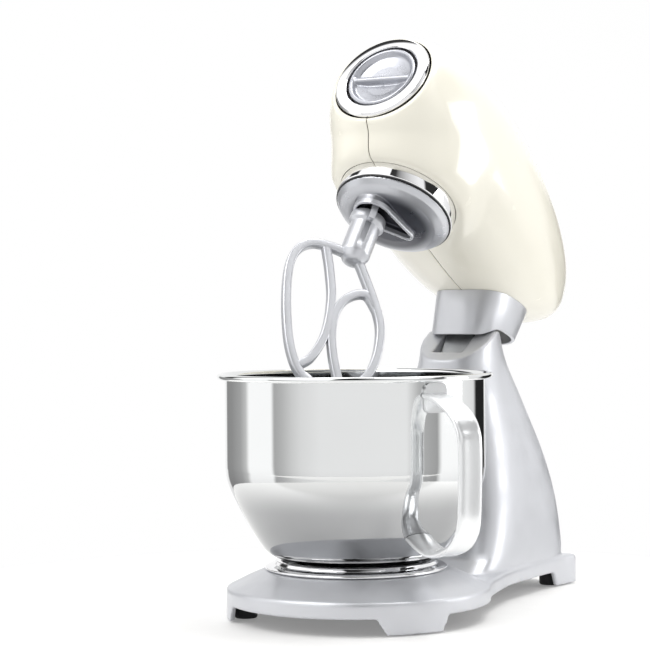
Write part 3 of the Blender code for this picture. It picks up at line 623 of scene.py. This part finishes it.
def head_section(ahead, inset, side, count):
    """Half of the head's section, from the middle of its underside up to the middle of its top."""
    top, bottom, half, squareness = smooth(HEAD_SECTIONS, ahead)
    centre = (top + bottom) / 2
    top_angle = math.pi / 2
    angles = [-top_angle + 0.002, -top_angle + 0.012] + spread(-top_angle + 0.04, top_angle - 0.04, count)
    points = []
    for angle in angles + [top_angle - 0.012, top_angle - 0.002]:
        power = 2 / (squareness if angle > 0 else min(squareness, UNDER_SQUARENESS))
        x = (half - inset) * power_of(abs(math.cos(angle)), power)
        up = centre + ((top - bottom) / 2 - inset) * power_of(math.sin(angle), power)
        points.append((side * x, -ahead, lowered(x, ahead, up, inset)))
    return points


def seam_rounded(ring, side, inset):
    """Ends a half section just short of the middle, with a small rounded edge."""
    radius = 0.7 if inset == 0 else 0
    low, high = ring[0], ring[-1]
    near, far = side * SEAM_HALF_GAP, side * (SEAM_HALF_GAP + 0.2)
    start = [(near, low[1], low[2] + radius), (far, low[1], low[2] + radius * 0.3)]
    end = [(far, high[1], high[2] - radius * 0.3), (near, high[1], high[2] - radius)]
    middle = [(side * max(abs(x), SEAM_HALF_GAP + 0.7), y, z) for x, y, z in ring]
    return start + middle + end


def casing_half(name, side):
    """One half of the head's casing: an outer and an inner skin, joined along their edges."""
    stations = [78] + spread(77, 60, 10) + spread(56, -210, 80) + spread(-213, -245.5, 18)
    grid = bmesh.new()
    skins = []
    for inset in (0, HEAD_WALL):
        rows = []
        for ahead in stations:
            rim = 0.9 if inset == 0 and ahead == 78 else 0
            at = max(ahead, HEAD_END[0] + inset + 2)
            ring = seam_rounded(head_section(at, inset + rim, side, 56), side, inset)
            y = -at if inset else -ahead
            rows.append([grid.verts.new((x, y, z)) for x, _, z in ring])
        tip = grid.verts.new(Vector((side * SEAM_HALF_GAP, -HEAD_END[0] - inset, HEAD_END[1])))
        skins.append((rows, tip))
    count = len(skins[0][0][0])
    for rows, tip in skins:
        for low, high in zip(rows, rows[1:]):
            for k in range(count - 1):
                grid.faces.new((low[k], low[k + 1], high[k + 1], high[k]))
        for k in range(count - 1):
            grid.faces.new((rows[-1][k], rows[-1][k + 1], tip))
    borders = []
    for rows, tip in skins:
        borders.append([row[0] for row in rows] + [tip] + [row[-1] for row in rows][::-1] + rows[0][-2:0:-1])
    outer, inner = borders
    for k in range(len(outer)):
        grid.faces.new((outer[k - 1], outer[k], inner[k], inner[k - 1]))
    return built(name, grid, HEAD)


def casing():
    for name, side in (("right", 1), ("left", -1)):
        half = casing_half(f"casing_{name}", side)
        vents = []
        for k in range(4):
            level = 50 + 11 * k
            corners = ((-34, level), (34, level), (34, level + 4), (-34, level + 4))
            outline = rounded([(x, z, 1.8) for x, z in corners])
            vents.append(prism(f"vent_{k}", outline, 222, 262, HEAD, "Y"))
        shaped(
            half,
            removed=(
                rod("band_opening", BAND_R + 0.3, 5, 34, HEAD, segments=144),
                block("neck_opening", (-22, 140, 14), (22, 184, 49), HEAD),
                block("lever_slot", (-3.4, LEVER.y - 27, 129), (3.4, LEVER.y + 27, 149), HEAD),
                *vents,
            ),
        )
        place(half, "head", "cream_enamel", ENAMEL, f"head_shell_{name}")
        paint_seam_shade(half, side)


def paint_seam_shade(half, side):
    """The faces of the parting line and the inner skin are painted dark: painted shade for the shadow inside the
    gap between the halves.
    """
    half.data.materials.append(SEAM)
    across = HEAD.to_3x3() @ Vector((side, 0, 0))
    back = HEAD.inverted()
    for face in half.data.polygons:
        centre = back @ face.center
        if abs(centre.x) < SEAM_HALF_GAP + 0.05 and face.normal.dot(across) < 0:
            face.material_index = 1


COLLAR = ((-22, 143.5, 202, 31, 2.8), (19, 130, 206, 35, 2.7), (60, 119, 209, 39, 2.6))
COLLAR_EDGE = ((143, -19), (148, -15), (158, -3), (175, 4), (204, 13.5))


def collar_ring(inset, z, lift=0.0):
    """The collar's outline at one height, or along its lower edge where z is None."""
    points = []
    for k in range(128):
        angle = 2 * math.pi * k / 128
        level = -1 if z is None else z
        for _ in range(4):
            front, rear, half, squareness = smooth(COLLAR, level)
            y = (front + rear) / 2 + ((rear - front) / 2 - inset) * power_of(math.sin(angle), 2 / squareness)
            level = smooth(COLLAR_EDGE, y)[0] + lift if z is None else z
        points.append(((half - inset) * power_of(math.cos(angle), 2 / squareness), y, level))
    return points


def neck_collar():
    levels = spread(54, 19, 16)
    outer = [collar_ring(0, z) for z in levels] + [collar_ring(0, None, 1.2), collar_ring(0.3, None, 0.3)]
    inner = [collar_ring(0.9, None, 0), collar_ring(2.2, None, 0), collar_ring(2.8, None, 0.6)]
    inner += [collar_ring(HEAD_WALL, z) for z in reversed(levels)]
    collar = loft("neck_sleeve", outer + inner, HEAD, loop=True)
    envelope = []
    for ahead in spread(70, -236, 90):
        right = head_section(ahead, -0.3, 1, 40)
        envelope.append(right + [(-x, y, z) for x, y, z in reversed(right)])
    shaped(collar, removed=(loft("casing_space", envelope, HEAD),))
    place(collar, "head", "silver_paint", SILVER, "neck_collar")


def nose():
    centre, ahead = (0, 0, NOSE_UP), (0, -1, 0)
    ring = [(32, 68, 0), (39, 68, 0), (42, 71, 1), (42, 80, 1.2)]
    ring += [(40.6, 82, 1), (33, 82.6, 0.8), (32, 81.4, 0.6)]
    trim = turned("nose_trim", rounded(ring), HEAD, centre, ahead, 160)
    place(trim, "head", "chrome", CHROME, "nose_ring")
    dish = [(0, 52, 0), (9, 52, 0.5), (9, 73.6, 0), (30, 73.6, 0.5), (30, 81, 1), (29, 82, 0.8)]
    dish += [(27.2, 82, 1), (25, 77.5, 2.5), (16, 75.6, 6), (0, 75, 0)]
    cap = turned("nose_knob", rounded(dish), HEAD, centre, ahead, 96)
    bar = [(-3.4, -75, 0), (-2.2, -80.4, 1.2), (0, -81.4, 1.5), (2.2, -80.4, 1.2), (3.4, -75, 0)]
    crest = [(up + NOSE_UP - 1, y) for up, y in rounded(bar, closed=False)]
    grip = loft("grip", [[(x, y, z) for z, y in crest] for x in spread(-27.4, 27.4, 2)], HEAD)
    shaped(cap, added=(grip,))
    softened(cap, 0.55, 4)
    place(cap, "cap", "satin_plastic", SATIN, "nose_cap")


def planetary():
    band = [(47, 1.6, 0), (BAND_R - 0.5, 1.6, 0.4), (BAND_R, 2.4, 0.4)]
    band += [(BAND_R, BAND_H, 0.3), (47, BAND_H, 0)]
    trim = turned("planetary_trim", rounded(band), HEAD, segments=192)
    place(trim, "head", "chrome", CHROME, "planetary_band")
    # A black ring tucked under the band: painted shade for the shadow in the gap between band and disc.
    lip = [(46.8, 0.5, 0), (BAND_R - 0.5, 0.5, 0.2), (BAND_R - 0.4, 1.5, 0.2), (46.8, 1.5, 0)]
    band_shade_ring = turned("planetary_band_shade", rounded(lip), HEAD, segments=192)
    place(band_shade_ring, "head", "black_plastic", BLACK)


def planet_disc():
    """The turning disc: a bright chamfer, a shallow dome, and a lip that trails off from the socket."""
    dome = [(0, -12.5, 0), (22, -11.6, 6), (38, -8.6, 5), (45, -4.6, 2), (49.2, 0.1, 0.8), (46.5, 0.35, 0),
            (46.5, 1.3, 0), (0, 1.3, 0)]
    disc = turned("turning_disc", rounded(dome), HEAD, segments=144)
    lip = prism("lip", lip_outline(0), -17.5, -7, HEAD, "Z")
    well = prism("well", lip_outline(2.6), -30, -9.4, HEAD, "Z")
    socket = rod("socket", 7.8, -30, 10, HEAD, (TOOL.x, TOOL.y, 0))
    shaped(disc, added=(lip,), removed=(well, socket))
    softened(disc, 0.75, 3, 50)
    place(disc, "carrier", "satin_plastic", DISC, "planet_disc")
    # A thin black sheet at the top of the well round the socket: painted shade for the dark recess.
    floor = prism("socket_shade_sheet", lip_outline(2.9), -9.3, -9.0, HEAD, "Z")
    shaped(floor, removed=(rod("socket", 7.9, -30, 10, HEAD, (TOOL.x, TOOL.y, 0)),))
    place(floor, "carrier", "black_plastic", BLACK)


def arc(centre, radius, start, end, count):
    return [tuple(centre + Vector((math.cos(a), math.sin(a))) * radius) for a in spread(start, end, count)]


def lip_outline(inset):
    """A round end about the tool, with a tail that narrows towards the back and the right."""
    tail, tail_r = Vector((15, 9)), 5.4 - inset
    head, head_r = Vector((-3.5, -20.5)), 17 - inset
    along = tail - head
    turn = math.acos((head_r - tail_r) / along.length)
    heading = math.atan2(along.y, along.x)
    points = arc(head, head_r, heading + turn, heading + 2 * math.pi - turn, 48)
    return points + arc(tail, tail_r, heading - turn, heading + turn, 20)


TOOL_TOP, HUB_END = -16, -63
BEATER_ALONG = Vector((0.73, 0.69, 0)).normalized()
BEATER_ACROSS = Vector((0.69, -0.73, 0)).normalized()
# Centre lines of the beater's bars: distance from the axis, depth below the seam
BEATER_BARS = (
    (
        *((0, 56), (-21, 56.7), (-36, 61), (-44.5, 72), (-45.5, 90)),
        *((-37.5, 119), (-24, 151), (-10, 171), (4, 178.6), (16, 178)),
    ),
    (
        *((4, 58), (11, 66), (29.5, 89.4), (41, 109), (46, 135)),
        *((43, 156), (31, 171), (13, 179.2), (-3, 175.5)),
    ),
    ((-24, 58.3), (-14, 78), (-4.3, 102), (1, 132), (-2, 156), (-9, 168)),
    ((35, 96), (20, 84.8), (7, 95), (2.7, 112), (6, 131), (14, 150), (26, 170)),
)


def beater():
    centre = Vector((TOOL.x, TOOL.y, 0))
    profile = [(0, HUB_END, 0), (8, HUB_END + 0.6, 6), (12.6, HUB_END + 9, 6)]
    profile += [(12.6, -26, 1), (15, -23.5, 1), (15, TOOL_TOP, 1.4), (0, TOOL_TOP, 0)]
    hub = turned("mixing_tool", rounded(profile), HEAD, centre, segments=96)
    bars = []
    for k, points in enumerate(BEATER_BARS):
        curve = curve_through(points, 10 * len(points))
        path = [centre + BEATER_ALONG * s - Vector((0, 0, depth)) for s, depth in curve]
        bars.append(swept(f"bar_{k}", path, BEATER_ACROSS, 4.3 - 0.1 * k, 3.6, HEAD, 4.5, 40))
    slot = []
    for i, j in ((-1, -1), (1, -1), (1, 1), (-1, 1)):
        slot.append(centre + BEATER_ACROSS * (20 * i) + BEATER_ALONG * (2.5 * j))
    shaped(
        hub,
        added=bars,
        removed=(
            rod("bore", 5.4, -42, 0, HEAD, centre),
            loft("bayonet", [[p + Vector((0, 0, h)) for p in slot] for h in (-27, 0)], HEAD),
        ),
    )
    place(hub, "tool", "tool_coating", TOOL_FINISH, "beater")


# The trim round the lever's slot, from its outer edge inwards: half width, half length, height
BEZEL = (
    (9, 33, 141.6),
    (9.6, 33.6, 140.8),
    (9.6, 33.6, 139.6),
    (4, 27.5, 139.6),
    (4, 27.5, 141),
    (4.6, 28.2, 141.7),
)


def lever():
    turn = Matrix.Translation(LEVER) @ Matrix.Rotation(math.radians(22), 4, "X")
    section = rounded([(-2.5, -4, 1), (2.5, -4, 1), (2.5, 4, 1), (-2.5, 4, 1)])
    arm = prism("lever_stick", section, 0, 46, HEAD @ turn, "Z")
    knob = [(0, 42, 0), (5, 42, 0.6), (7.4, 45.5, 2), (7.6, 49.5, 2), (5.5, 52.5, 2), (0, 53.5, 0)]
    hub = rod("lever_hub", 6, -5, 5, HEAD @ turn, (0, 0, 0), (1, 0, 0))
    shaped(arm, added=(turned("lever_ball", rounded(knob), HEAD @ turn), hub))
    place(arm, "lever", "chrome", CHROME, "speed_lever")
    rings = []
    for half_x, half_y, up in BEZEL:
        rings.append([(x, LEVER.y + y, up) for x, y in superellipse(half_x, half_y, 6, 96)])
    place(loft("lever_bezel", rings, HEAD, loop=True), "head", "chrome", CHROME, "lever_trim")


# ---------------------------------------------------------------- bowl

RIM_R, RIM_Z, BOWL_WALL = 110.5, 196, 1.6
BOWL = ((104.3, 193), (104.3, 122), (102, 109), (94.5, 92), (84, 72.5), (71.5, 54.5), (58, 47.2))
HANDLE_ANGLE = math.radians(67)
HANDLE_R = 147


def bowl_side(shift):
    """The bowl's side below its rim as a smooth line, moved inwards by shift."""
    straight = [(BOWL[0][0] - shift, z) for z in spread(BOWL[0][1], BOWL[1][1] + 6, 6)]
    curve = [(r - shift, z) for r, z in curve_through(BOWL[1:], 60)]
    return straight + curve


def bowl():
    bead = [(RIM_R - 5.8, RIM_Z - 2.6), (RIM_R - 4.6, RIM_Z - 0.3)]
    for angle in spread(math.radians(110), math.radians(-150), 16):
        bead.append((RIM_R - 2.4 + 2.4 * math.cos(angle), RIM_Z - 2.2 + 2.4 * math.sin(angle)))
    inside = [(r, z + 0.9 * ease(120 - z, 0, 60)) for r, z in reversed(bowl_side(BOWL_WALL))]
    floor_z = BOWL[-1][1]
    profile = bead + bowl_side(0) + [(0, floor_z - 0.6), (0, floor_z + 1.2)] + inside
    shell = turned("bowl_shell", profile, STAND, segments=192, sharp=50)
    place(shell, "mixing_bowl", "polished_steel", BOWL_STEEL, "bowl")


def bowl_foot():
    profile = [(60, 46.4, 0), (64.5, 47.2, 1), (66, 44.5, 0.8), (70.4, 43.4, 0.8)]
    profile += [(SEAT_R, 41.8, 1), (SEAT_R - 0.4, 40.4, 0.4), (60, 40.4, 0)]
    ring = turned("bowl_base_ring", rounded(profile), STAND, segments=192)
    place(ring, "mixing_bowl", "chrome", CHROME, "bowl_foot")


def bowl_handle():
    out = Vector((math.sin(HANDLE_ANGLE), -math.cos(HANDLE_ANGLE), 0))
    across = Vector((math.cos(HANDLE_ANGLE), math.sin(HANDLE_ANGLE), 0))
    route = [(104.6, 181.6), (112, 180), (124, 175.5), (136, 168), (144, 158), (HANDLE_R, 146)]
    route += [(HANDLE_R, 118), (145, 88), (139, 74), (128, 65.5), (110, 60.5), (95, 64), (79, 73)]
    path = [out * r + Vector((0, 0, z)) for r, z in curve_through(route, 110)]
    rings = []
    for k, point in enumerate(path):
        ahead = (path[min(k + 1, len(path) - 1)] - path[max(k - 1, 0)]).normalized()
        normal = ahead.cross(across)
        half_wide = 12.5 - 1.6 * math.sin(math.pi * k / (len(path) - 1))
        ring = []
        for u, v in superellipse(half_wide, 3.2, 2.6, 40):
            crown = 1.6 * (1 - (u / half_wide) ** 2)
            ring.append(point + across * u + normal * (v - crown))
        rings.append(ring)
    handle = loft("bowl_grip", rings, STAND)
    flat = STAND @ Matrix((across, Vector((0, 0, 1)), out)).transposed().to_4x4()
    corners = [(-10.5, 168, 6), (10.5, 168, 6), (10.5, 191, 6), (-10.5, 191, 6)]
    tab = prism("grip_tab", rounded(corners), 96, 106.6, flat, "Z")
    keep_out = [(0, 40)] + [(r + 0.3, z) for r, z in reversed(bowl_side(0))]
    keep_out += [(BOWL[0][0] + 0.3, 200), (0, 200)]
    bowl_space = turned("bowl_space", keep_out, STAND, segments=192)
    shaped(handle, added=(tab,), removed=(bowl_space,), sharp=50)
    place(handle, "mixing_bowl", "polished_steel", HANDLE_STEEL, "bowl_handle")


# ---------------------------------------------------------------- studio

# The camera's bearing round the bowl's axis, and its reach from it and its height in metres
AZIMUTH = math.radians(31.61)
CAMERA_REACH, CAMERA_HEIGHT, CAMERA_ROLL = 1.62318, 0.25201, math.radians(-0.4)
LENS = 112.2
SHIFT = (-0.04517, -0.03434)


def around(angle, reach, height):
    """A point round the bowl's axis. Angle 0 is the camera's side, and positive is to its right."""
    a = AZIMUTH + angle
    return Vector((BOWL_AT.x + math.sin(a) * reach, BOWL_AT.y - math.cos(a) * reach, height))


def camera():
    data = bpy.data.cameras.new("camera")
    data.sensor_width = 36
    data.lens = LENS
    data.shift_x, data.shift_y = SHIFT
    obj = bpy.data.objects.new("camera", data)
    bpy.context.scene.collection.objects.link(obj)
    right = Vector((math.cos(AZIMUTH), math.sin(AZIMUTH), 0))
    up = Vector((0, 0, 1))
    turn = Matrix((right, up, right.cross(up))).transposed().to_4x4() @ Matrix.Rotation(CAMERA_ROLL, 4, "Z")
    obj.matrix_world = Matrix.Translation(around(0, CAMERA_REACH, CAMERA_HEIGHT)) @ turn
    bpy.context.scene.camera = obj


# Brightness of the studio round the mixer, by angle from the camera (positive is to its right)
LOW_RAMP = (
    *((-180, 1.0), (-157, 1.0), (-153, 0.28), (-138, 0.31), (-120, 0.42), (-111, 0.62), (-106, 1.15)),
    *((-78, 1.15), (-75, 0.45), (-66, 0.55), (-57, 0.7), (-48, 0.82), (-30, 0.92), (45, 0.92), (57, 0.52)),
    *((76, 0.4), (81, 1.15), (104, 1.15), (110, 0.95), (127, 0.84), (132, 0.02), (156, 0.02), (160, 1.0)),
    (180, 1.0),
)
HIGH_RAMP = (
    *((-180, 1.0), (-142, 1.0), (-138, 0.04), (-124, 0.04), (-120, 1.25), (-22, 1.25), (-17, 0.03)),
    *((4, 0.05), (22, 0.4), (60, 0.95), (68, 0.95), (71, 0.03), (100, 0.03), (104, 0.95), (180, 1.0)),
)
# Sines of the elevations over which low ramp gives way to high ramp, and plain ground to low ramp
LEVEL_CHANGE = (0.1, 0.16)
GROUND_GREY = 0.95
GROUND_CHANGE = (-0.42, -0.3)
FLOOR_R = 0.46
FLOOR_FRONT = (0.15, 0.2)  # the glow of the floor fades out this far towards the camera


def ramp(tree, value, stops):
    """A grey ramp over angles in degrees, read at a share of the full turn."""
    made = tree.nodes.new("ShaderNodeValToRGB")
    band = made.color_ramp
    while len(band.elements) < len(stops):
        band.elements.new(0.5)
    for element, (angle, grey) in zip(band.elements, stops):
        element.position = (angle + 180) / 360
        element.color = (grey, grey, grey, 1)
    tree.links.new(value, made.inputs["Fac"])
    return made.outputs["Color"]


def surroundings():
    """Soft boxes, grey drapes and dark gaps, far off all round, as the polished pieces mirror them."""
    world = bpy.data.worlds.new("studio")
    world.use_nodes = True
    tree = world.node_tree
    split = tree.nodes.new("ShaderNodeSeparateXYZ")
    tree.links.new(tree.nodes.new("ShaderNodeTexCoord").outputs["Generated"], split.inputs["Vector"])
    across, along, height = split.outputs
    bearing = math_node(tree, "ARCTAN2", across, math_node(tree, "MULTIPLY", along, -1.0))
    angle = math_node(tree, "SUBTRACT", bearing, AZIMUTH)
    wrapped = math_node(tree, "WRAP", angle, math.pi, -math.pi)
    share = math_node(tree, "ADD", math_node(tree, "DIVIDE", wrapped, 2 * math.pi), 0.5)
    low, high = ramp(tree, share, LOW_RAMP), ramp(tree, share, HIGH_RAMP)
    step = tree.nodes.new("ShaderNodeMapRange")
    step.inputs["From Min"].default_value, step.inputs["From Max"].default_value = LEVEL_CHANGE
    tree.links.new(height, step.inputs["Value"])
    first, second, walls = colour_mix(tree, step.outputs["Result"])
    tree.links.new(low, first)
    tree.links.new(high, second)
    first, second, result = colour_mix(tree, step_between(tree, height, *GROUND_CHANGE))
    first.default_value = (GROUND_GREY, GROUND_GREY, GROUND_GREY, 1)
    tree.links.new(walls, second)
    tree.links.new(result, tree.nodes["Background"].inputs["Color"])
    tree.nodes["Background"].inputs["Strength"].default_value = 1.0
    bpy.context.scene.world = world


def floor():
    """A pale round floor with a painted glow that falls off to grey on the camera's side."""
    grid = bmesh.new()
    bmesh.ops.create_circle(grid, cap_ends=True, segments=128, radius=FLOOR_R)
    mesh = bpy.data.meshes.new("studio_floor")
    grid.to_mesh(mesh)
    grid.free()
    made = surface("studio_floor", (0.74, 0.735, 0.725), 0.6, tint=0.004, grain=60, bump=0.01)
    tree = made.node_tree
    shader = tree.nodes["Principled BSDF"]
    split = tree.nodes.new("ShaderNodeSeparateXYZ")
    tree.links.new(tree.nodes.new("ShaderNodeTexCoord").outputs["Object"], split.inputs["Vector"])
    # Painted light: the floor glows white near the mixer and the glow falls off towards the camera.
    floor_glow_falloff = tree.nodes.new("ShaderNodeMapRange")
    floor_glow_falloff.interpolation_type = "SMOOTHSTEP"
    floor_glow_falloff.inputs["From Min"].default_value, floor_glow_falloff.inputs["From Max"].default_value = FLOOR_FRONT
    floor_glow_falloff.inputs["To Min"].default_value, floor_glow_falloff.inputs["To Max"].default_value = 0.22, 0.0
    tree.links.new(math_node(tree, "MULTIPLY", split.outputs["Y"], -1.0), floor_glow_falloff.inputs["Value"])
    shader.inputs["Emission Color"].default_value = (1, 1, 1, 1)
    tree.links.new(floor_glow_falloff.outputs["Result"], shader.inputs["Emission Strength"])
    shader.inputs["Specular IOR Level"].default_value = 0.1
    mesh.materials.append(made)
    obj = bpy.data.objects.new("studio_floor", mesh)
    bpy.context.scene.collection.objects.link(obj)
    obj.location = (BOWL_AT.x, BOWL_AT.y, 0)
    obj.rotation_euler = (0, 0, AZIMUTH)


def lamp(name, angle, reach, height, size, power):
    data = bpy.data.lights.new(name, "AREA")
    data.shape = "RECTANGLE"
    data.size, data.size_y = size
    data.energy = power
    obj = bpy.data.objects.new(name, data)
    bpy.context.scene.collection.objects.link(obj)
    obj.location = around(math.radians(angle), reach, height)
    aim = Vector((BOWL_AT.x, BOWL_AT.y + 0.06, 0.2)) - obj.location
    obj.rotation_euler = aim.to_track_quat("-Z", "Y").to_euler()


def studio():
    bpy.context.scene.view_settings.view_transform = "Standard"
    surroundings()
    floor()
    lamp("key", -60, 1.3, 1.9, (1.2, 1.2), 14)
    lamp("fill", 95, 0.8, 2.0, (1.0, 1.0), 16)
    lamp("top", 160, 0.7, 2.2, (1.4, 1.0), 10)
    lamp("side", 92, 1.3, 0.45, (0.55, 0.7), 4)


camera()
darken_dome()
paint_bowl_foot_shade()
dress_frame()
stand_casting()
feet()
button_and_gland()
casing()
neck_collar()
nose()
planetary()
planet_disc()
beater()
lever()
bowl()
bowl_foot()
bowl_handle()
studio()
